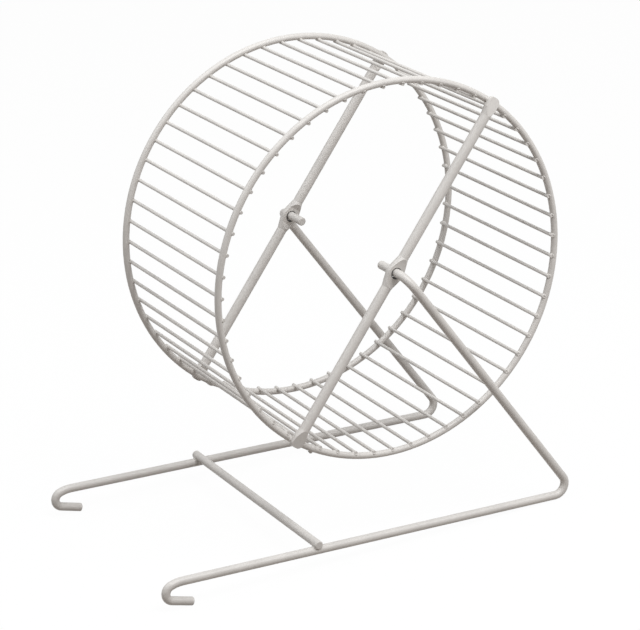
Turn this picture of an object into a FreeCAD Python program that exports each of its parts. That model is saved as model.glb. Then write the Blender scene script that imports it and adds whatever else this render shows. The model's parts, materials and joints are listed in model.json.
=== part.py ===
"""Rodent exercise wheel of coated steel wire, turning on a bent-wire stand."""
import FreeCAD, Part
import enum
import math
import os

import Sketcher
from FreeCAD import Placement, Rotation, Vector

X_AXIS = Vector(1, 0, 0)
Y_AXIS = Vector(0, 1, 0)
Z_AXIS = Vector(0, 0, 1)
QUARTER_TURN = 90
HALF_TURN = 180
FULL_TURN = 360

# The axle runs along Y. The wheel's front faces against it, its rear along it.
FRONT = -Y_AXIS
REAR = Y_AXIS

# Driving dimensions, in millimetres and degrees.
DIMENSIONS = {
    "rim_outer_diameter": 200,
    "rim_wire": 3.5,
    "rim_spacing": 103,
    "rung_count": 55,
    "rung_wire": 1.8,
    "rung_setback": 0.5,
    "rung_set_down": 0.8,
    "rung_phase": -0.5,
    "rungs_per_node": 2,
    "spoke_rod": 5.3,
    "spoke_angle": 52.24,
    "spoke_tip_overhang": 1.0,
    "eye_width": 9.6,
    "eye_thickness": 3.3,
    "eye_flat_length": 8.8,
    "eye_neck_length": 17.0,
    "eye_shoulder": 2.2,
    "eye_dish_radius": 32.0,
    "eye_bore": 5.2,
    "spade_width": 6.9,
    "spade_thickness": 2.2,
    "spade_tip": 1.8,
    "spade_length": 5.8,
    "spade_flare": 4.2,
    "spade_corner": 2.4,
    "stand_wire": 4.5,
    "stand_spacing": 132,
    "stub_end_gap": 81.5,
    "elbow_radius": 8.0,
    "upright_length": 173.5,
    "rear_angle": 52.0,
    "rear_radius": 6.0,
    "runner_length": 233.5,
    "hook_lead_radius": 16.5,
    "hook_lead_turn": 23.0,
    "hook_radius": 4.25,
    "hook_turn": 143.5,
    "hook_leg": 11.8,
    "tie_from_hook": 76.1,
    "tie_overhang": 0.4,
    "tie_set_down": 1.0,
    "wire_end_round": 0.6,
    "weld_gap": 0.05,
    "bore_contact_gap": 0.05,
}

# Sizes that follow from them.
RIM_RADIUS = "(Sizes.rim_outer_diameter - Sizes.rim_wire) / 2"
RUNG_CIRCLE = "(Sizes.rim_outer_diameter - Sizes.rung_wire) / 2 - Sizes.rim_wire + Sizes.rung_set_down"
RUNG_LENGTH = "Sizes.rim_spacing + Sizes.rim_wire - 2 * Sizes.rung_setback"
SPOKE_PLANE = "(Sizes.rim_spacing + Sizes.rim_wire + Sizes.spade_thickness) / 2 + Sizes.weld_gap"
SPOKE_REACH = "(Sizes.rim_outer_diameter / 2 + Sizes.spoke_tip_overhang)"
SPADE_START = f"({SPOKE_REACH} - Sizes.spade_length)"
FLARE_START = f"({SPADE_START} - Sizes.spade_flare)"
TIE_LENGTH = "Sizes.stand_spacing + Sizes.stand_wire + 2 * Sizes.tie_overhang"
WHEEL_HANG = "(Sizes.eye_bore - Sizes.stand_wire) / 2 - Sizes.bore_contact_gap"

doc = FreeCAD.newDocument("RodentWheel")
sheet = doc.addObject("Spreadsheet::Sheet", "Sizes")
for row, (alias, number) in enumerate(DIMENSIONS.items(), start=1):
    sheet.set(f"A{row}", alias)
    sheet.set(f"B{row}", str(number))
    sheet.setAlias(f"B{row}", alias)
doc.recompute()


class At(enum.IntEnum):
    """Point of a sketched line or arc that a constraint takes hold of."""
    START = enum.auto()
    END = enum.auto()
    CENTRE = enum.auto()


def size(expression):
    """Value of an expression in the sheet's names."""
    return float(sheet.evalExpression(expression))


def bind(feature, **expressions):
    """Tie properties of a feature to the sheet."""
    for name, expression in expressions.items():
        feature.setExpression(name, expression)


def polar(radius, degrees):
    """Point in the wheel's own plane, the plane of X and Z."""
    angle = math.radians(degrees)
    return Vector(radius * math.cos(angle), 0, radius * math.sin(angle))


def sketch_on(body, name, role):
    """Empty sketch on one of the body's own origin planes."""
    sketch = body.newObject("Sketcher::SketchObject", name)
    plane = next(item for item in body.Origin.OriginFeatures if item.Role == role)
    sketch.AttachmentSupport = [(plane, "")]
    sketch.MapMode = "FlatFace"
    return sketch


def origin_point():
    """The origin of any sketch, as constraints name it."""
    axes = -1
    return axes, At.START


def pin_value(sketch, expression, kind, *where):
    """Dimension in a sketch, tied to the sheet."""
    index = sketch.addConstraint(Sketcher.Constraint(kind, *where, size(expression)))
    sketch.setExpression(f"Constraints[{index}]", expression)


def pin_point(sketch, geometry, position, across=None, up=None):
    """Places a point of a sketch from the sketch's origin."""
    if across:
        pin_value(sketch, across, "DistanceX", *origin_point(), geometry, position)
    if up:
        pin_value(sketch, up, "DistanceY", *origin_point(), geometry, position)


def join(sketch, first, second, kind="Coincident"):
    """Joins two points, with a tangent run-on if asked for."""
    sketch.addConstraint(Sketcher.Constraint(kind, *first, *second))


def draw_polygon(sketch, corners):
    """Closed outline whose corners are pairs of expressions."""
    points = [Vector(size(across), size(up), 0) for across, up in corners]
    first = sketch.GeometryCount
    count = len(points)
    for index, point in enumerate(points):
        sketch.addGeometry(Part.LineSegment(point, points[(index + 1) % count]), False)
    for index, (across, up) in enumerate(corners):
        side = first + index
        join(sketch, (side, At.END), (first + (index + 1) % count, At.START))
        pin_point(sketch, side, At.START, across, up)


def draw_circle(sketch, radius, up=None):
    """Circle round the sketch's origin, or above or below it."""
    upright_axis = -2
    centre = Vector(0, size(up) if up else 0, 0)
    circle = sketch.addGeometry(Part.Circle(centre, Z_AXIS, size(radius)), False)
    if up:
        sketch.addConstraint(Sketcher.Constraint("PointOnObject", circle, At.CENTRE, upright_axis))
        pin_point(sketch, circle, At.CENTRE, up=up)
    else:
        join(sketch, (circle, At.CENTRE), origin_point())
    pin_value(sketch, radius, "Radius", circle)


def pocket(body, name, sketch):
    """Cut right through the body, the same to both sides of the sketch."""
    feature = body.newObject("PartDesign::Pocket", name)
    feature.Profile = sketch
    feature.SideType = "Symmetric"
    feature.Type = "ThroughAll"
    return feature


def mirrored(body, name, feature):
    """The feature once more, on the other half of the body."""
    copy = body.newObject("PartDesign::Mirrored", name)
    copy.Originals = [feature]
    plane = next(item for item in body.Origin.OriginFeatures if item.Role == "YZ_Plane")
    copy.MirrorPlane = (plane, [""])
    body.Tip = copy
    return copy


def draw_half_spoke(sketch):
    """Half outline of the spoke, from the middle of its eye to one tip."""
    reach = size(SPOKE_REACH)
    spade_start = size(SPADE_START)
    flare_start = size(FLARE_START)
    rod = size("Sizes.spoke_rod / 2")
    spade = size("Sizes.spade_width / 2")
    corner = size("Sizes.spade_corner")
    eye = size("Sizes.eye_width / 2")
    neck = Vector(size("Sizes.eye_neck_length / 2"), rod, 0)
    touch = math.atan2(neck.y, neck.x) + math.acos(eye / neck.Length)
    touch_point = Vector(eye * math.cos(touch), eye * math.sin(touch), 0)
    centre = Vector(reach - corner, spade - corner, 0)
    eye_circle = Part.Circle(Vector(), Z_AXIS, eye)
    corner_circle = Part.Circle(centre, Z_AXIS, corner)
    outline = [
        Part.ArcOfCircle(eye_circle, touch, math.pi / 2),
        Part.LineSegment(touch_point, neck),
        Part.LineSegment(neck, Vector(flare_start, rod, 0)),
        Part.LineSegment(Vector(flare_start, rod, 0), Vector(spade_start, spade, 0)),
        Part.LineSegment(Vector(spade_start, spade, 0), Vector(centre.x, spade, 0)),
        Part.ArcOfCircle(corner_circle, 0, math.pi / 2),
        Part.LineSegment(Vector(reach, centre.y, 0), Vector(reach, 0, 0)),
        Part.LineSegment(Vector(reach, 0, 0), Vector()),
        Part.LineSegment(Vector(), Vector(0, eye, 0)),
    ]
    sketch.addGeometry(outline, False)
    eye_arc, slope, rod_side, flare, spade_side, corner_arc, tip, axis, middle = range(len(outline))

    join(sketch, (eye_arc, At.CENTRE), origin_point())
    join(sketch, (eye_arc, At.START), (slope, At.START), "Tangent")
    join(sketch, (slope, At.END), (rod_side, At.START))
    join(sketch, (rod_side, At.END), (flare, At.START))
    join(sketch, (flare, At.END), (spade_side, At.START))
    join(sketch, (spade_side, At.END), (corner_arc, At.END), "Tangent")
    join(sketch, (corner_arc, At.START), (tip, At.START), "Tangent")
    join(sketch, (tip, At.END), (axis, At.START))
    join(sketch, (axis, At.END), origin_point())
    join(sketch, (middle, At.START), origin_point())
    join(sketch, (middle, At.END), (eye_arc, At.END))
    for line in (rod_side, spade_side, axis):
        sketch.addConstraint(Sketcher.Constraint("Horizontal", line))
    for line in (tip, middle):
        sketch.addConstraint(Sketcher.Constraint("Vertical", line))
    pin_value(sketch, "Sizes.eye_width / 2", "Radius", eye_arc)
    pin_value(sketch, "Sizes.spade_corner", "Radius", corner_arc)
    pin_point(sketch, slope, At.END, "Sizes.eye_neck_length / 2", "Sizes.spoke_rod / 2")
    pin_point(sketch, rod_side, At.END, FLARE_START)
    pin_point(sketch, flare, At.END, SPADE_START, "Sizes.spade_width / 2")
    pin_point(sketch, tip, At.END, SPOKE_REACH)


def eye_die(sign):
    """Press die that flattens the rod into the eye, on the side that faces the other spoke."""
    half_flat = "Sizes.eye_flat_length / 2"
    slope = "(Sizes.eye_width - Sizes.eye_thickness) / (Sizes.spoke_rod - Sizes.eye_thickness)"
    half_mouth = f"({half_flat} + Sizes.eye_shoulder * {slope})"
    face = f"{sign}Sizes.eye_thickness / 2"
    back = f"{sign}Sizes.eye_width / 2"
    return [(f"-{half_mouth}", back), (f"-{half_flat}", face), (half_flat, face), (half_mouth, back)]


def spade_seat_die(sign):
    """Press die that flattens the rod's end against the rim."""
    slope = "(Sizes.spade_width - Sizes.spade_thickness) / (Sizes.spoke_rod - Sizes.spade_thickness)"
    mouth = f"{SPADE_START} - Sizes.spade_flare * {slope}"
    outside = f"{SPOKE_REACH} + Sizes.spade_length"
    face = f"{sign}Sizes.spade_thickness / 2"
    back = f"{sign}Sizes.spade_width / 2"
    return [(mouth, back), (SPADE_START, face), (outside, face), (outside, back)]


def spade_slope_die(sign):
    """Press die that slopes the rod's outer side down to its tip."""
    tip_face = "(Sizes.spade_tip - Sizes.spade_thickness / 2)"
    slope = f"(Sizes.spade_length + Sizes.spade_flare) / (Sizes.spoke_rod / 2 - {tip_face})"
    mouth = f"{FLARE_START} - (Sizes.spade_width - Sizes.spoke_rod) / 2 * {slope}"
    outside = f"{SPOKE_REACH} + Sizes.spade_tip"
    face = f"{sign}({tip_face} - Sizes.spade_tip / ({slope}))"
    back = f"{sign}Sizes.spade_width / 2"
    return [(mouth, back), (outside, face), (outside, back)]


def make_spoke(label, side, wheel):
    """Round rod pressed into a bored eye and two spade-shaped ends."""
    inner, outer = ("", "-") if side == FRONT else ("-", "")
    body = doc.addObject("PartDesign::Body", label)
    profile = sketch_on(body, f"{label}_profile", "XZ_Plane")
    draw_half_spoke(profile)
    half = body.newObject("PartDesign::Revolution", f"{label}_half")
    half.Profile = profile
    half.ReferenceAxis = (profile, ["H_Axis"])
    half.Angle = FULL_TURN
    mirrored(body, f"{label}_whole", half)

    eye_faces = sketch_on(body, f"{label}_eye_dies", "XY_Plane")
    draw_polygon(eye_faces, eye_die(inner))
    draw_circle(eye_faces, "Sizes.eye_dish_radius", f"{outer}(Sizes.eye_thickness / 2 + Sizes.eye_dish_radius)")
    pocket(body, f"{label}_eye", eye_faces)

    spade_faces = sketch_on(body, f"{label}_spade_dies", "XY_Plane")
    draw_polygon(spade_faces, spade_seat_die(inner))
    draw_polygon(spade_faces, spade_slope_die(outer))
    spade = pocket(body, f"{label}_spade", spade_faces)
    mirrored(body, f"{label}_spades", spade)

    bore_circle = sketch_on(body, f"{label}_bore_circle", "XZ_Plane")
    draw_circle(bore_circle, "Sizes.eye_bore / 2")
    body.Tip = pocket(body, f"{label}_bore", bore_circle)

    body.Placement = wheel * Placement(side * size(SPOKE_PLANE), Rotation())
    return body


def make_ring(label, side, wheel, wire_radius):
    """Closed ring of round wire at one edge of the running surface, its seam between two rungs."""
    ring = doc.addObject("Part::Torus", label)
    bind(ring, Radius1=RIM_RADIUS, Radius2=wire_radius)
    seam = Rotation(Y_AXIS, -size("Sizes.rung_phase + 180 / Sizes.rung_count"))
    turn = seam * Rotation(X_AXIS, QUARTER_TURN)
    ring.Placement = wheel * Placement(side * size("Sizes.rim_spacing / 2"), turn)
    return ring


def make_rim(label, side, wheel):
    """Rim of the wheel on one side."""
    return make_ring(label, side, wheel, "Sizes.rim_wire / 2")


def make_seats(wheel):
    """Both rims grown by the weld gap, which press the seats into the rungs."""
    seats = doc.addObject("Part::Compound", "rung_seats")
    seats.Links = [
        make_ring(f"rung_seats_{name}", side, wheel, "Sizes.rim_wire / 2 + Sizes.weld_gap")
        for name, side in (("front", FRONT), ("rear", REAR))
    ]
    return seats


def make_rung(label, angle, wheel, seats):
    """Straight wire welded down on the rims' inner sides."""
    wire = doc.addObject("Part::Cylinder", f"{label}_wire")
    bind(wire, Radius="Sizes.rung_wire / 2", Height=RUNG_LENGTH)
    start = polar(size(RUNG_CIRCLE), angle) - Y_AXIS * (size(RUNG_LENGTH) / 2)
    wire.Placement = wheel * Placement(start, Rotation(X_AXIS, -QUARTER_TURN))
    rung = doc.addObject("Part::Cut", label)
    rung.Base = wire
    rung.Tool = seats
    return rung


def make_rungs(wheel):
    """All rungs, evenly spaced, a few neighbours to a node."""
    count = round(size("Sizes.rung_count"))
    share = round(size("Sizes.rungs_per_node"))
    pitch = FULL_TURN / count
    seats = make_seats(wheel)
    nodes = []
    for first in range(0, count, share):
        neighbours = doc.addObject("Part::Compound", f"rungs_{first // share + 1:02d}")
        neighbours.Links = [
            make_rung(f"rung_{index + 1:02d}", size("Sizes.rung_phase") + index * pitch, wheel, seats)
            for index in range(first, min(first + share, count))
        ]
        nodes.append(neighbours)
    return nodes


def bend_wire(start, heading, steps):
    """Centreline of a wire bent on a bench: straight runs and round bends about an axis."""
    edges = []
    for step in steps:
        if isinstance(step, tuple):
            radius, degrees, axis = step
            centre = start + axis.cross(heading) * radius
            halfway = Rotation(axis, degrees / 2)
            whole = Rotation(axis, degrees)
            middle = centre + halfway.multVec(start - centre)
            finish = centre + whole.multVec(start - centre)
            edges.append(Part.Arc(start, middle, finish).toShape())
            heading = whole.multVec(heading)
        else:
            finish = start + heading * step
            edges.append(Part.LineSegment(start, finish).toShape())
        start = finish
    return Part.Wire(edges)


def rear_tangent():
    """Length that the rear bend takes off the straight runs on both sides of it."""
    return size("Sizes.rear_radius") / math.tan(math.radians(size("Sizes.rear_angle") / 2))


def rear_corner():
    """Where the upright and the runner would meet, seen from the axle."""
    return polar(size("Sizes.upright_length"), -size("Sizes.rear_angle"))


def hook_start():
    """End of the straight runner, where the hook begins."""
    return rear_corner() - X_AXIS * size("Sizes.runner_length")


def hook_centre():
    """Centre of the hook's tight bend, which follows on its gentle one."""
    lead_radius = size("Sizes.hook_lead_radius")
    lead = math.radians(size("Sizes.hook_lead_turn"))
    outside = Vector(-math.sin(lead), 0, math.cos(lead))
    return hook_start() - Z_AXIS * lead_radius + outside * (lead_radius - size("Sizes.hook_radius"))


def stand_on_floor():
    """Placement of the stand's level frame, resting on its rear bends and its hooks' tips."""
    wire = size("Sizes.stand_wire / 2")
    end_round = size("Sizes.wire_end_round")
    turn = math.radians(HALF_TURN - size("Sizes.hook_lead_turn + Sizes.hook_turn"))
    along = Vector(math.cos(turn), 0, -math.sin(turn))
    below = Vector(-math.sin(turn), 0, -math.cos(turn))
    tip = hook_centre() + below * size("Sizes.hook_radius") + along * size("Sizes.hook_leg")
    tip_centre = tip - along * end_round + below * (wire - end_round)
    rear_centre = rear_corner() + Vector(-rear_tangent(), 0, size("Sizes.rear_radius"))
    rear_outside = size("Sizes.rear_radius") + wire

    across = rear_centre - tip_centre
    rise = math.atan2(across.z, across.x)
    lean = math.asin((rear_outside - end_round) / across.Length)
    level = Rotation(Y_AXIS, math.degrees(rise - lean))
    floor = level.multVec(rear_centre).z - rear_outside

    hook_side = level.multVec(hook_centre()).x - size("Sizes.hook_radius") - wire
    wheel_side = max(size(SPOKE_REACH), level.multVec(rear_centre).x + rear_outside)
    return Placement(Vector(-(hook_side + wheel_side) / 2, 0, -floor), level)


def make_side_frame(label, outward, stand):
    """One wire bent into stub axle, upright, runner and cage hook."""
    wire = size("Sizes.stand_wire / 2")
    upright = rear_corner().normalize()
    stub_end = outward * size("Sizes.stub_end_gap / 2")
    elbow = size("Sizes.elbow_radius")
    spine = doc.addObject("Part::Feature", f"{label}_centreline")
    spine.Shape = bend_wire(stub_end, outward, [
        size("(Sizes.stand_spacing - Sizes.stub_end_gap) / 2 - Sizes.elbow_radius"),
        (elbow, QUARTER_TURN, outward.cross(upright)),
        size("Sizes.upright_length") - elbow - rear_tangent(),
        (size("Sizes.rear_radius"), HALF_TURN - size("Sizes.rear_angle"), Y_AXIS),
        size("Sizes.runner_length") - rear_tangent(),
        (size("Sizes.hook_lead_radius"), size("Sizes.hook_lead_turn"), -Y_AXIS),
        (size("Sizes.hook_radius"), size("Sizes.hook_turn"), -Y_AXIS),
        size("Sizes.hook_leg"),
    ])
    section = doc.addObject("Part::Circle", f"{label}_section")
    bind(section, Radius="Sizes.stand_wire / 2")
    section.Placement = Placement(stub_end, Rotation(Z_AXIS, outward))
    sweep = doc.addObject("Part::Sweep", f"{label}_wire")
    sweep.Sections = [section]
    sweep.Spine = (spine, [])
    sweep.Solid = True
    doc.recompute()

    frame = doc.addObject("Part::Fillet", label)
    frame.Base = sweep
    frame.Edges = [(index, size("Sizes.wire_end_round"), size("Sizes.wire_end_round"))
                   for index in cut_edges(sweep.Shape, spine.Shape)]
    frame.Placement = stand
    expected = math.pi * wire ** 2 * spine.Shape.Length
    print(f"{label}: swept volume over section times length {sweep.Shape.Volume / expected:.5f}")
    return frame


def cut_edges(solid, centreline):
    """Numbers of the round edges at a wire's two cut ends."""
    ends = [vertex.Point for vertex in centreline.OrderedVertexes]
    ends = [ends[0], ends[-1]]
    near = size("Sizes.weld_gap")
    return [
        number for number, edge in enumerate(solid.Edges, start=1)
        if any((edge.CenterOfMass - end).Length < near for end in ends)
    ]


def make_tie_seat(label, crossing, stand):
    """Stretch of a runner grown by the weld gap, which presses the tie's seat."""
    seat = doc.addObject("Part::Cylinder", label)
    bind(seat, Radius="Sizes.stand_wire / 2 + Sizes.weld_gap", Height="2 * Sizes.stand_wire")
    start = crossing - X_AXIS * size("Sizes.stand_wire")
    seat.Placement = stand * Placement(start, Rotation(Y_AXIS, QUARTER_TURN))
    return seat


def make_tie(label, stand):
    """Straight wire welded down on both runners, rounded at its cut ends."""
    rod = doc.addObject("Part::Cylinder", f"{label}_rod")
    bind(rod, Radius="Sizes.stand_wire / 2", Height=TIE_LENGTH)
    doc.recompute()
    wire = doc.addObject("Part::Fillet", f"{label}_wire")
    wire.Base = rod
    end_round = size("Sizes.wire_end_round")
    wire.Edges = [(number, end_round, end_round) for number, edge in enumerate(rod.Shape.Edges, start=1)
                  if isinstance(edge.Curve, Part.Circle)]
    middle = hook_start() + X_AXIS * size("Sizes.tie_from_hook")
    start = middle + Z_AXIS * size("Sizes.stand_wire - Sizes.tie_set_down")
    start -= Y_AXIS * (size(TIE_LENGTH) / 2)
    wire.Placement = stand * Placement(start, Rotation(X_AXIS, -QUARTER_TURN))

    seats = doc.addObject("Part::Compound", f"{label}_seats")
    seats.Links = [
        make_tie_seat(f"{label}_seat_{name}", middle + side * size("Sizes.stand_spacing / 2"), stand)
        for name, side in (("front", FRONT), ("rear", REAR))
    ]
    tie = doc.addObject("Part::Cut", label)
    tie.Base = wire
    tie.Tool = seats
    return tie


def check(objects):
    """Stops if any object failed or any sub-part has no sound shape."""
    doc.recompute()
    for item in doc.Objects:
        if {"Invalid", "Error"} & set(item.State):
            raise RuntimeError(f"{item.Label} failed to build: {item.State}")
    for item in objects:
        if item.Shape.isNull() or not item.Shape.isValid() or not item.Shape.Solids:
            raise RuntimeError(f"{item.Label} has no valid solid")


stand_place = stand_on_floor()
axle = stand_place.Base
wheel_turn = Rotation(Y_AXIS, -size("Sizes.spoke_angle"))
wheel_place = Placement(axle - Z_AXIS * size(WHEEL_HANG), wheel_turn)

parts = [
    make_side_frame("side_frame_front", FRONT, stand_place),
    make_side_frame("side_frame_rear", REAR, stand_place),
    make_tie("cross_tie", stand_place),
    make_rim("rim_front", FRONT, wheel_place),
    make_rim("rim_rear", REAR, wheel_place),
    make_spoke("spoke_front", FRONT, wheel_place),
    make_spoke("spoke_rear", REAR, wheel_place),
]
parts += make_rungs(wheel_place)
check(parts)

os.makedirs("parts", exist_ok=True)
for part in parts:
    part.Shape.exportStep(f"parts/{part.Label}.step")
print(f"axle at x {axle.x:.3f}, z {axle.z:.3f}; wheel axis at z {wheel_place.Base.z:.3f}")
print(f"stand leans by {math.degrees(stand_place.Rotation.Angle):.3f} degrees; {len(parts)} sub-parts")
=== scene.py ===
"""Looks of the wire exercise wheel: powder coat, weld beads, studio and camera."""

import json
import math

import bmesh
import bpy
from mathutils import Matrix, Vector, noise


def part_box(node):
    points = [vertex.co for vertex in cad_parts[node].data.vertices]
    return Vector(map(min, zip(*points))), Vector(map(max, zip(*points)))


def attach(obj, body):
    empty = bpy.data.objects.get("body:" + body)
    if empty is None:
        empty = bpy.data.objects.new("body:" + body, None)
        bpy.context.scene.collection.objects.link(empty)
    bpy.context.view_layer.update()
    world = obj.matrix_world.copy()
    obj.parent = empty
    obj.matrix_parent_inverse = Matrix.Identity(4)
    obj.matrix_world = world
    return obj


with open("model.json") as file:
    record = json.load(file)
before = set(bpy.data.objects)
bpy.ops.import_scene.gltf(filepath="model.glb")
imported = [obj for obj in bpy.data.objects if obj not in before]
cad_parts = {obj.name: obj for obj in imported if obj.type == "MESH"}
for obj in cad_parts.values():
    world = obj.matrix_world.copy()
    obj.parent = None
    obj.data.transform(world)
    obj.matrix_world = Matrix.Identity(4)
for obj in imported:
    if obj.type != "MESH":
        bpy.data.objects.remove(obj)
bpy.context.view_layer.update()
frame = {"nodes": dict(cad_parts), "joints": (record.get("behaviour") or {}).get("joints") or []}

MM = 0.001
X_AXIS = Vector((1, 0, 0))
Y_AXIS = Vector((0, 1, 0))
Z_AXIS = Vector((0, 0, 1))
FRONT, REAR = -1, 1
FULL_TURN = 360
WHITE = (1, 1, 1, 1)

# Sizes and places of the solids in metres, with places round a rim in degrees.
AXLE = Vector(frame["joints"][0]["pos_m"])
RIM_LOW, RIM_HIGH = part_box("rim_front")
RIM_WIRE = RIM_HIGH.y - RIM_LOW.y
RIM_RADIUS = (RIM_HIGH.x - RIM_LOW.x - RIM_WIRE) / 2
RIM_PLANE = abs(RIM_HIGH.y + RIM_LOW.y) / 2
RUNG_COUNT = 55
RUNG_LOW, RUNG_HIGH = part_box("rungs_28")
RUNG_WIRE = RUNG_HIGH.z - RUNG_LOW.z
LAST_RUNG = (RUNG_LOW + RUNG_HIGH) / 2 - AXLE
RUNG_CIRCLE = math.hypot(LAST_RUNG.x, LAST_RUNG.z)
LAST_RUNG_ANGLE = math.degrees(math.atan2(LAST_RUNG.z, LAST_RUNG.x))
TIE_LOW, TIE_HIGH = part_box("cross_tie")
TIE_MIDDLE = (TIE_LOW + TIE_HIGH) / 2
STAND_WIRE = TIE_HIGH.x - TIE_LOW.x
TIE_SET_DOWN = 1.0 * MM
RUNNER_PLANE = abs(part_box("side_frame_front")[0].y) - STAND_WIRE / 2
STAND_LEAN = math.radians(3.150)
SPOKE_ANGLES = (52.24, 232.24)
SPADE_WIDTH = 6.9 * MM
EYE_BORE = 5.2 * MM

# Weld flash, beads and collars, with the scatter as a share of their size.
TUBE_SIDES = 10
RING_STEPS = 24
BEAD_DETAIL = 3
BEAD_LUMPS = 1.7  # steps of the noise in a bead's radius
RING_LUMPS = 0.6  # steps of the noise in the flash's radius
BEAD_SCATTER = 0.35
RUNG_BEAD = 0.36 * MM
TIE_BEAD = 0.6 * MM
SPADE_BEAD = Vector((0.9, 0.7, 1.2)) * MM
SPADE_BEAD_OFFSET = 0.45 * RIM_WIRE
RIM_JOINT_ANGLES = {FRONT: 239.2, REAR: 236.5}
JOINT_HALF_WIDTHS = {FRONT: 1.9 * MM, REAR: 3.4 * MM}
JOINT_SWELLS = {FRONT: 0.45 * MM, REAR: 0.55 * MM}
JOINT_STEPS = 16
JOINT_LUMPS = 0.9  # steps of the noise from one ring of a collar to the next
JOINT_SINK = 0.1 * MM
DRIP_SIDE = FRONT
DRIP_SIZE = Vector((1.15, 0.9, 0.95)) * MM

# Powder coat, with the scales of its textures in steps per metre.
COAT_COLOUR = (0.628, 0.599, 0.565, 1)
COAT_SHADE = (0.571, 0.544, 0.513, 1)
COAT_ROUGHNESS = (0.34, 0.50)
CLOUD_SCALE = 60
SPECK_SCALE = 2600
SPECK_TONE = (0.88, 0.87, 0.86, 1)
RIPPLE_SCALE = 900
RIPPLE_HEIGHT = 0.15 * MM
RIPPLE_STRENGTH = 0.12
# Painted shade: a near-black ring in and round each eye's bore, for the shadow in the gap round the
# stub.
BORE_SHADE_TONE = (0.045, 0.042, 0.040, 1)
BORE_SHADE_ROUGHNESS = 0.55
BORE_SHADE_REACH = 0.6 * MM

# Studio: a lamp's level is how bright a small lamp of its power makes a white card at the axle.
KEY_FROM = Vector((0.129, -0.483, 0.866))
KEY_DISTANCE = 2.0
KEY_SPREAD = math.radians(35)
KEY_LEVEL = 0.80
KEY_TINT = (0.983, 1.0, 1.025)
FILL_FROM = Vector((-0.492, 0.087, 0.866))
FILL_DISTANCE = 1.0
FILL_SPREAD = math.radians(70)
FILL_LEVEL = 0.86
FILL_TINT = (0.96, 1.0, 1.043)
SIDE_FROM = Vector((0.62, -0.68, 0.391))
SIDE_DISTANCE = 0.45
SIDE_SPREAD = math.radians(40)
SIDE_LEVEL = 0.24
SIDE_TINT = (0.97, 1.0, 1.03)
SURROUND_LEVEL = 0.065
SURROUND_TINT = (1.2, 1.0, 0.8, 1)
FLOOR_REACH = 20
FLOOR_BOUNCE = (0.29, 0.256, 0.232, 1)
FLOOR_ROUGHNESS = 0.9
FLOOR_SEEN = (0.9, 0.9, 0.9, 1)
FLOOR_WHITE_SHARE = 0.97

# The camera was fitted to the photograph with the wheel's centre as origin and the runners almost level.
PHOTO_WIDTH = 640
PHOTO_LEAN = math.radians(0.385)
CAMERA_AZIMUTH = math.radians(-29.51)
CAMERA_ELEVATION = math.radians(19.70)
CAMERA_DISTANCE = 1388.1 * MM
CAMERA_TARGET = Vector((-12.28, 0, -37.31)) * MM
CAMERA_FOCAL_PIXELS = 2667.5
CAMERA_SENSOR = 36
CAMERA_CLIP = (0.01, 100)


def new_material(name):
    """Empty node material with its output and a surface shader."""
    material = bpy.data.materials.new(name)
    material.use_nodes = True
    nodes = material.node_tree.nodes
    nodes.clear()
    output = nodes.new("ShaderNodeOutputMaterial")
    shader = nodes.new("ShaderNodeBsdfPrincipled")
    material.node_tree.links.new(shader.outputs["BSDF"], output.inputs["Surface"])
    return material, shader, output


def noise_node(material, coordinates, scale, detail, roughness):
    """Noise texture in the object's own space."""
    node = material.node_tree.nodes.new("ShaderNodeTexNoise")
    node.inputs["Scale"].default_value = scale
    node.inputs["Detail"].default_value = detail
    node.inputs["Roughness"].default_value = roughness
    material.node_tree.links.new(coordinates, node.inputs["Vector"])
    return node.outputs["Fac"]


def ramp_node(material, factor, low, high, start, end):
    """Blend of two colours over a stretch of a factor."""
    node = material.node_tree.nodes.new("ShaderNodeValToRGB")
    node.color_ramp.elements[0].position = start
    node.color_ramp.elements[0].color = low
    node.color_ramp.elements[1].position = end
    node.color_ramp.elements[1].color = high
    material.node_tree.links.new(factor, node.inputs["Fac"])
    return node.outputs["Color"]


def map_range(material, value, low, high):
    """A factor from 0 to 1 mapped to a range."""
    node = material.node_tree.nodes.new("ShaderNodeMapRange")
    node.inputs["To Min"].default_value = low
    node.inputs["To Max"].default_value = high
    material.node_tree.links.new(value, node.inputs["Value"])
    return node.outputs["Result"]


def mix_shaders(nodes, links, factor, first, second):
    """Blend of two shaders by a number or by a factor socket."""
    mix = nodes.new("ShaderNodeMixShader")
    if isinstance(factor, float):
        mix.inputs["Fac"].default_value = factor
    else:
        links.new(factor, mix.inputs["Fac"])
    links.new(first, mix.inputs[1])
    links.new(second, mix.inputs[2])
    return mix.outputs["Shader"]


def powder_coat(name):
    """Satin powder coat: faint clouds, specks and the fine ripple of the cured film."""
    material, shader, output = new_material(name)
    nodes = material.node_tree.nodes
    links = material.node_tree.links
    space = nodes.new("ShaderNodeTexCoord").outputs["Object"]
    clouds = noise_node(material, space, CLOUD_SCALE, detail=4, roughness=0.6)
    specks = noise_node(material, space, SPECK_SCALE, detail=2, roughness=0.5)
    ripple = noise_node(material, space, RIPPLE_SCALE, detail=3, roughness=0.5)

    tone = ramp_node(material, clouds, COAT_SHADE, COAT_COLOUR, start=0.32, end=0.62)
    speck_tone = ramp_node(material, specks, SPECK_TONE, WHITE, start=0.30, end=0.42)
    mix = nodes.new("ShaderNodeMix")
    mix.data_type = "RGBA"
    mix.blend_type = "MULTIPLY"
    mix.inputs["Factor"].default_value = 1
    links.new(tone, mix.inputs["A"])
    links.new(speck_tone, mix.inputs["B"])
    links.new(mix.outputs["Result"], shader.inputs["Base Color"])
    links.new(map_range(material, clouds, *COAT_ROUGHNESS), shader.inputs["Roughness"])

    bump = nodes.new("ShaderNodeBump")
    bump.inputs["Strength"].default_value = RIPPLE_STRENGTH
    bump.inputs["Distance"].default_value = RIPPLE_HEIGHT
    links.new(ripple, bump.inputs["Height"])
    links.new(bump.outputs["Normal"], shader.inputs["Normal"])
    return material, shader, output


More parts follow.
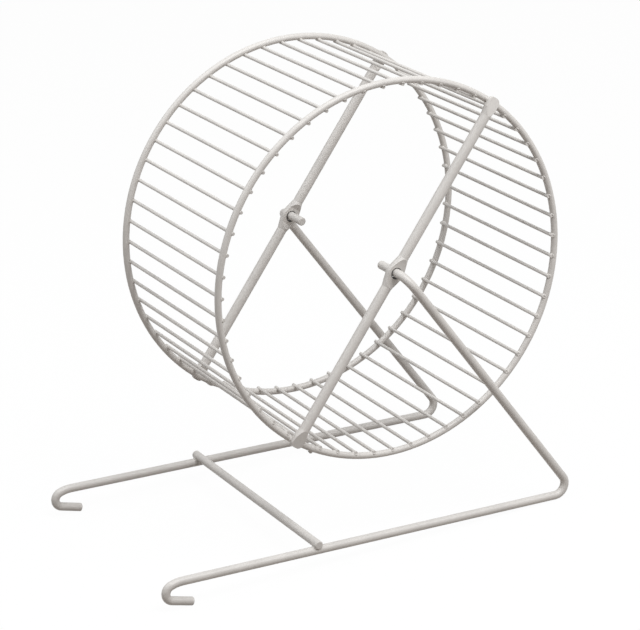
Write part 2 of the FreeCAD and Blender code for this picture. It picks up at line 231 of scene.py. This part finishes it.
def paint_bore_shade(name):
    """The same coat, painted near-black in the eye's bore and along its edge as shade for the gap round
    the stub.
    """
    material, shader, output = powder_coat(name)
    nodes = material.node_tree.nodes
    links = material.node_tree.links
    space = nodes.new("ShaderNodeTexCoord").outputs["Object"]
    off_axis = nodes.new("ShaderNodeVectorMath")
    off_axis.operation = "MULTIPLY_ADD"
    off_axis.inputs[1].default_value = X_AXIS + Z_AXIS
    off_axis.inputs[2].default_value = (-AXLE.x, 0, -AXLE.z)
    links.new(space, off_axis.inputs[0])
    reach = nodes.new("ShaderNodeVectorMath")
    reach.operation = "LENGTH"
    links.new(off_axis.outputs["Vector"], reach.inputs[0])
    # Painted shade: dark up to half the ring's width past the bore, fading to the coat at its full
    # width.
    shade_mask = nodes.new("ShaderNodeMapRange")
    shade_mask.inputs["From Min"].default_value = EYE_BORE / 2 + BORE_SHADE_REACH
    shade_mask.inputs["From Max"].default_value = EYE_BORE / 2 + BORE_SHADE_REACH / 2
    links.new(reach.outputs["Value"], shade_mask.inputs["Value"])
    shade_bsdf = nodes.new("ShaderNodeBsdfPrincipled")
    shade_bsdf.inputs["Base Color"].default_value = BORE_SHADE_TONE
    shade_bsdf.inputs["Roughness"].default_value = BORE_SHADE_ROUGHNESS
    surface = mix_shaders(
        nodes, links, shade_mask.outputs["Result"], shader.outputs["BSDF"], shade_bsdf.outputs["BSDF"],
    )
    links.new(surface, output.inputs["Surface"])
    return material


def finish_piece(name, mesh, body):
    """Turns a mesh into a smooth, coated piece that rides on a body."""
    data = bpy.data.meshes.new(name)
    mesh.to_mesh(data)
    mesh.free()
    data.shade_smooth()
    piece = bpy.data.objects.new(name, data)
    bpy.context.scene.collection.objects.link(piece)
    piece.data.materials.append(coat)
    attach(piece, body)


def rim_matrix(degrees, side):
    """Frame at one place on a rim: X along the wire, Y along the axle, Z towards the axle."""
    angle = math.radians(degrees)
    outward = Vector((math.cos(angle), 0, math.sin(angle)))
    along = Vector((-math.sin(angle), 0, math.cos(angle)))
    place = AXLE + outward * RIM_RADIUS + Y_AXIS * (side * RIM_PLANE)
    axes = Matrix((along, Y_AXIS, -outward)).transposed().to_4x4()
    return Matrix.Translation(place) @ axes


def add_bead(mesh, place, semi_axes, seed):
    """Lump of weld metal under the coat, a little uneven."""
    made = bmesh.ops.create_icosphere(mesh, subdivisions=BEAD_DETAIL, radius=1)
    for vertex in made["verts"]:
        swell = 1 + BEAD_SCATTER * noise.noise(vertex.co * BEAD_LUMPS + Vector((seed, 0, 0)))
        vertex.co = Vector(a * b for a, b in zip(vertex.co, semi_axes)) * swell
    bmesh.ops.transform(mesh, matrix=place, verts=made["verts"])


def add_rings(mesh, centres, radii, cross_directions):
    """Rings of points round a row of centres, each with its own radius and two cross directions."""
    rings = []
    for centre, radius, (first, second) in zip(centres, radii, cross_directions):
        ring = []
        for step in range(TUBE_SIDES):
            angle = 2 * math.pi * step / TUBE_SIDES
            outward = first * math.cos(angle) + second * math.sin(angle)
            ring.append(mesh.verts.new(centre + outward * radius))
        rings.append(ring)
    return rings


def skin_rings(mesh, rings, closed):
    """Faces between neighbouring rings, with caps on an open row."""
    pairs = list(zip(rings, rings[1:]))
    if closed:
        pairs.append((rings[-1], rings[0]))
    for first, second in pairs:
        for step in range(TUBE_SIDES):
            after = (step + 1) % TUBE_SIDES
            mesh.faces.new((first[step], first[after], second[after], second[step]))
    if not closed:
        mesh.faces.new(reversed(rings[0]))
        mesh.faces.new(rings[-1])


def add_weld_ring(mesh, place, lower_radius, upper_radius, spacing, bead, seed):
    """Flash squeezed out all round the seat of one wire on another that it crosses.

    In the seat's frame the lower wire runs along X and the upper one along Y.
    Z points from the lower to the upper.
    """
    half_length = math.sqrt(upper_radius ** 2 - (spacing - lower_radius) ** 2)
    centres = []
    for step in range(RING_STEPS):
        angle = 2 * math.pi * step / RING_STEPS
        x = half_length * math.cos(angle)
        height = spacing - math.sqrt(upper_radius ** 2 - x ** 2)
        y = math.copysign(math.sqrt(max(0, lower_radius ** 2 - height ** 2)), math.sin(angle))
        centres.append(Vector((x, y, height)))
    radii = []
    cross_directions = []
    turn = place.to_3x3()
    for step, centre in enumerate(centres):
        lump = noise.noise(centre / bead * RING_LUMPS + Vector((seed, 0, 0)))
        radii.append(bead * (1 + BEAD_SCATTER * lump))
        along = (centres[(step + 1) % RING_STEPS] - centres[step - 1]).normalized()
        outward = Vector((centre.x, centre.y, 0)).normalized()
        cross_directions.append((turn @ outward, turn @ along.cross(outward)))
    rings = add_rings(mesh, [place @ centre for centre in centres], radii, cross_directions)
    skin_rings(mesh, rings, closed=True)


def rung_welds(name, side):
    """Flash round the seat of each rung on one rim."""
    mesh = bmesh.new()
    spacing = RIM_RADIUS - RUNG_CIRCLE
    for index in range(RUNG_COUNT):
        place = rim_matrix(LAST_RUNG_ANGLE + (index + 1) * FULL_TURN / RUNG_COUNT, side)
        add_weld_ring(mesh, place, RIM_WIRE / 2, RUNG_WIRE / 2, spacing, RUNG_BEAD, index)
    finish_piece(name, mesh, "wheel")


def tie_welds(name):
    """Flash round the seats of the tie on both runners."""
    mesh = bmesh.new()
    spacing = STAND_WIRE - TIE_SET_DOWN
    lean = Matrix.Rotation(STAND_LEAN, 4, Y_AXIS)
    for side in (FRONT, REAR):
        seat = TIE_MIDDLE + Y_AXIS * (side * RUNNER_PLANE) - lean.to_3x3() @ Z_AXIS * spacing
        place = Matrix.Translation(seat) @ lean
        add_weld_ring(mesh, place, STAND_WIRE / 2, STAND_WIRE / 2, spacing, TIE_BEAD, side)
    finish_piece(name, mesh, "stand")


def spade_welds(name, side):
    """Beads where a rim runs out from under the two spades welded on it."""
    mesh = bmesh.new()
    for seed, degrees in enumerate(SPOKE_ANGLES):
        for hand in (-1, 1):
            offset = Vector((hand * SPADE_WIDTH / 2, side * SPADE_BEAD_OFFSET, 0))
            place = rim_matrix(degrees, side) @ Matrix.Translation(offset)
            add_bead(mesh, place, SPADE_BEAD, seed * 2 + hand)
    finish_piece(name, mesh, "wheel")


def rim_joint(name, side):
    """Upset collar of a rim's butt weld, with a drip of coat below it on one side."""
    mesh = bmesh.new()
    centres = []
    radii = []
    cross_directions = []
    for step in range(JOINT_STEPS + 1):
        share = 2 * step / JOINT_STEPS - 1
        turn = math.degrees(share * JOINT_HALF_WIDTHS[side] / RIM_RADIUS)
        place = rim_matrix(RIM_JOINT_ANGLES[side] + turn, side)
        ripple = 1 + BEAD_SCATTER * noise.noise(Vector((step * JOINT_LUMPS, side, 0)))
        swell = (JOINT_SWELLS[side] + JOINT_SINK) * math.cos(share * math.pi / 2) ** 2
        radii.append(RIM_WIRE / 2 - JOINT_SINK + swell * ripple)
        centres.append(place.translation)
        cross_directions.append((place.to_3x3() @ Y_AXIS, place.to_3x3() @ Z_AXIS))
    skin_rings(mesh, add_rings(mesh, centres, radii, cross_directions), closed=False)
    if side == DRIP_SIDE:
        drip = rim_matrix(RIM_JOINT_ANGLES[side], side) @ Matrix.Translation(-Z_AXIS * RIM_WIRE / 2)
        add_bead(mesh, drip, DRIP_SIZE, side)
    finish_piece(name, mesh, "wheel")


def seen_factor(nodes, links):
    """Factor that is 1 for what the camera, a reflection or a clear part shows."""
    path = nodes.new("ShaderNodeLightPath")
    factor = path.outputs["Is Camera Ray"]
    for ray in ("Is Glossy Ray", "Is Transmission Ray"):
        larger = nodes.new("ShaderNodeMath")
        larger.operation = "MAXIMUM"
        links.new(factor, larger.inputs[0])
        links.new(path.outputs[ray], larger.inputs[1])
        factor = larger.outputs["Value"]
    return factor


def make_floor():
    """Floor that is seen white with a soft shadow, and throws little light back up."""
    mesh = bmesh.new()
    bmesh.ops.create_grid(mesh, x_segments=1, y_segments=1, size=FLOOR_REACH)
    data = bpy.data.meshes.new("floor")
    mesh.to_mesh(data)
    mesh.free()
    floor = bpy.data.objects.new("floor", data)
    bpy.context.scene.collection.objects.link(floor)
    material, shader, output = new_material("floor")
    shader.inputs["Base Color"].default_value = FLOOR_BOUNCE
    shader.inputs["Roughness"].default_value = FLOOR_ROUGHNESS
    nodes = material.node_tree.nodes
    links = material.node_tree.links
    pale = nodes.new("ShaderNodeBsdfDiffuse")
    pale.inputs["Color"].default_value = FLOOR_SEEN
    white = nodes.new("ShaderNodeEmission")
    white.inputs["Color"].default_value = WHITE
    white.inputs["Strength"].default_value = 1
    seen = mix_shaders(nodes, links, FLOOR_WHITE_SHARE, pale.outputs["BSDF"], white.outputs["Emission"])
    surface = mix_shaders(nodes, links, seen_factor(nodes, links), shader.outputs["BSDF"], seen)
    links.new(surface, output.inputs["Surface"])
    # The white is for the eye alone and lights nothing, so no rays are aimed at it.
    material.cycles.emission_sampling = "NONE"
    floor.data.materials.append(material)


def make_world():
    """Even white surround, dimmer for the object than for the eye."""
    world = bpy.data.worlds.new("studio")
    bpy.context.scene.world = world
    world.use_nodes = True
    nodes = world.node_tree.nodes
    links = world.node_tree.links
    nodes.clear()
    output = nodes.new("ShaderNodeOutputWorld")
    levels = []
    for strength, tint in ((SURROUND_LEVEL, SURROUND_TINT), (1, WHITE)):
        level = nodes.new("ShaderNodeBackground")
        level.inputs["Color"].default_value = tint
        level.inputs["Strength"].default_value = strength
        levels.append(level.outputs["Background"])
    surface = mix_shaders(nodes, links, seen_factor(nodes, links), *levels)
    links.new(surface, output.inputs["Surface"])


def make_light(name, comes_from, distance, spread, level, tint):
    """Round soft lamp that is aimed at the axle."""
    data = bpy.data.lights.new(name, "AREA")
    data.shape = "DISK"
    data.size = 2 * distance * math.tan(spread / 2)
    data.energy = level * (math.pi * distance) ** 2
    data.color = tint
    light = bpy.data.objects.new(name, data)
    bpy.context.scene.collection.objects.link(light)
    light.location = AXLE + comes_from * distance
    light.rotation_mode = "QUATERNION"
    light.rotation_quaternion = (-comes_from).to_track_quat("-Z", "Y")


def make_camera():
    """Camera at the photograph's place, leaned with the stand as it rests on the floor."""
    back = Vector((
        math.sin(CAMERA_AZIMUTH) * math.cos(CAMERA_ELEVATION),
        -math.cos(CAMERA_AZIMUTH) * math.cos(CAMERA_ELEVATION),
        math.sin(CAMERA_ELEVATION),
    ))
    right = Vector((math.cos(CAMERA_AZIMUTH), math.sin(CAMERA_AZIMUTH), 0))
    up = back.cross(right)
    place = CAMERA_TARGET + back * CAMERA_DISTANCE
    fitted = Matrix.Translation(place) @ Matrix((right, up, back)).transposed().to_4x4()
    lean = Matrix.Rotation(STAND_LEAN - PHOTO_LEAN, 4, Y_AXIS)
    data = bpy.data.cameras.new("photo")
    data.sensor_width = CAMERA_SENSOR
    data.lens = CAMERA_SENSOR * CAMERA_FOCAL_PIXELS / PHOTO_WIDTH
    data.clip_start, data.clip_end = CAMERA_CLIP
    camera = bpy.data.objects.new("photo", data)
    bpy.context.scene.collection.objects.link(camera)
    camera.matrix_world = Matrix.Translation(AXLE) @ lean @ fitted
    bpy.context.scene.camera = camera


coat, _, _ = powder_coat("powder_coat")
# The spokes take the coat with the painted shade round their bores.
bore_shaded_coat = paint_bore_shade("powder_coat_bore_shade")
for name, node in frame["nodes"].items():
    node.data.materials.clear()
    node.data.materials.append(bore_shaded_coat if name.startswith("spoke") else coat)

rung_welds("rung_welds_front", FRONT)
rung_welds("rung_welds_rear", REAR)
spade_welds("spade_welds_front", FRONT)
spade_welds("spade_welds_rear", REAR)
rim_joint("rim_joint_front", FRONT)
rim_joint("rim_joint_rear", REAR)
tie_welds("tie_welds")

make_floor()
make_world()
make_light("key", KEY_FROM, KEY_DISTANCE, KEY_SPREAD, KEY_LEVEL, KEY_TINT)
make_light("fill", FILL_FROM, FILL_DISTANCE, FILL_SPREAD, FILL_LEVEL, FILL_TINT)
make_light("side", SIDE_FROM, SIDE_DISTANCE, SIDE_SPREAD, SIDE_LEVEL, SIDE_TINT)
make_camera()
bpy.context.scene.view_settings.view_transform = "Standard"
